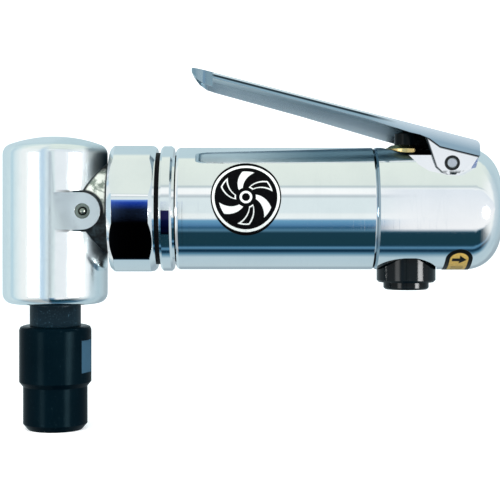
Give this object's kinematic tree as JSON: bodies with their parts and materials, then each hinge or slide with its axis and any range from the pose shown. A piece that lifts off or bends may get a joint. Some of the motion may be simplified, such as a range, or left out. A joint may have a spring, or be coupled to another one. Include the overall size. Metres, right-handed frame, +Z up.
{
  "type": "pneumatic angle die grinder",
  "caption": "Right-angle air die grinder with a chrome barrel, hinged throttle lever, speed regulator and quarter-inch collet.",
  "frame": {"origin": "end of the collet bore at the foot of the collet nut, on the spindle axis", "axes": "+Z up the spindle axis away from the cutter, +X along the barrel to the air inlet"},
  "size_m": [0.1651, 0.0434, 0.1197],
  "materials": {
    "head_metal": "satin",
    "fitting_steel": "satin",
    "dark_steel": "satin",
    "bearing_steel": "polished",
    "gear_steel": "machined",
    "black_oxide": "satin",
    "black_oxide_nut": "satin",
    "collet_steel": "satin",
    "spring_steel": "satin",
    "chrome_nut": "polished",
    "chrome_ring": "polished",
    "chrome_barrel": "mirror",
    "chrome_rear": "mirror",
    "chrome_lever": "polished",
    "black_rubber": "matt",
    "plate_iron": "ground",
    "rotor_steel": "ground",
    "vane_composite": "matt",
    "gasket_fibre": "matt",
    "inlet_steel": "satin",
    "brass": "machined",
    "black_plastic": "gloss",
    "black_knob": "gloss",
    "pin_steel": "satin",
    "clip_steel": "satin",
    "badge_face": "gloss",
    "label_face": "gloss"
  },
  "bodies": {
    "housing": {"angle_head": "head_metal", "grease_fitting": "fitting_steel", "head_plug": "fitting_steel", "bearing_cap": "dark_steel", "head_bearing_shell": "bearing_steel", "spindle_bearing_outer_race": "bearing_steel", "pinion_bearing_outer_races": "bearing_steel", "pinion_retaining_ring": "spring_steel", "neck_retaining_ring": "spring_steel", "clamp_nut": "chrome_nut", "seal_ring": "black_rubber", "lock_ring": "chrome_ring", "motor_housing": "chrome_barrel", "front_end_plate": "plate_iron", "cylinder_sleeve": "plate_iron", "rear_end_plate": "plate_iron", "dowel_pin": "bearing_steel", "rotor_bearing_outer_races": "bearing_steel", "gasket": "gasket_fibre", "throttle_housing": "chrome_rear", "inlet_bushing": "inlet_steel", "inlet_screen": "inlet_steel", "valve_bushing": "brass", "regulator_clip": "spring_steel", "lever_pin": "pin_steel", "lever_pin_clips": "clip_steel", "round_badge": "badge_face", "direction_label": "label_face"},
    "rotor_shaft": {"rotor": "rotor_steel", "rotor_vanes": "vane_composite", "bevel_pinion": "gear_steel", "pinion_bearing_inner_races": "bearing_steel", "pinion_bearing_balls": "bearing_steel", "rotor_bearing_inner_races": "bearing_steel", "rotor_bearing_balls": "bearing_steel"},
    "spindle_shaft": {"spindle": "black_oxide", "bevel_gear": "gear_steel", "gear_key": "gear_steel", "gear_lock_nut": "gear_steel", "spindle_bearing_inner_race": "bearing_steel", "spindle_bearing_balls": "bearing_steel", "head_bearing_rollers": "bearing_steel"},
    "collet": {"split_collet": "collet_steel"},
    "nut": {"collet_nut": "black_oxide_nut"},
    "lever": {"throttle_lever": "chrome_lever"},
    "plunger": {"valve_plunger": "black_plastic", "plunger_washer": "black_rubber", "valve_spring": "spring_steel"},
    "regulator": {"regulator_knob": "black_knob", "regulator_o_ring": "black_rubber"}
  },
  "joints": [
    {"name": "rotor_spin", "type": "hinge", "parent": "housing", "child": "rotor_shaft", "pos_m": [0.06, 0, 0.0695], "axis": [1, 0, 0], "continuous": true},
    {"name": "spindle_spin", "type": "hinge", "parent": "housing", "child": "spindle_shaft", "pos_m": [0, 0, 0.0695], "axis": [0, 0, 1], "continuous": true},
    {"name": "collet_slide", "type": "slide", "parent": "spindle_shaft", "child": "collet", "axis": [0, 0, -1], "range_m": [0, 0.0025]},
    {"name": "collet_nut_turn", "type": "hinge", "parent": "collet", "child": "nut", "pos_m": [0, 0, 0.0195], "axis": [0, 0, 1], "range_deg": [0, 720]},
    {"name": "lever_press", "type": "hinge", "parent": "housing", "child": "lever", "pos_m": [0.1308, 0, 0.08435], "axis": [0, -1, 0], "range_deg": [0, 12], "stiffness_Nm_per_rad": 0.6, "springref_deg": -20.05},
    {"name": "plunger_slide", "type": "slide", "parent": "housing", "child": "plunger", "axis": [0, 0, -1], "range_m": [0, 0.00302], "stiffness_N_per_m": 400, "springref_m": -0.002, "deforming": ["valve_spring"]},
    {"name": "regulator_turn", "type": "hinge", "parent": "housing", "child": "regulator", "pos_m": [0.1171, 0, 0.0495], "axis": [0, 0, 1], "range_deg": [0, 180]}
  ],
  "couplings": [
    {"joint": "spindle_spin", "follows": "rotor_spin", "ratio": 0.88235},
    {"joint": "collet_nut_turn", "follows": "collet_slide", "rad_per_m": 5026.5},
    {"joint": "plunger_slide", "follows": "lever_press", "m_per_rad": 0.014345}
  ]
}
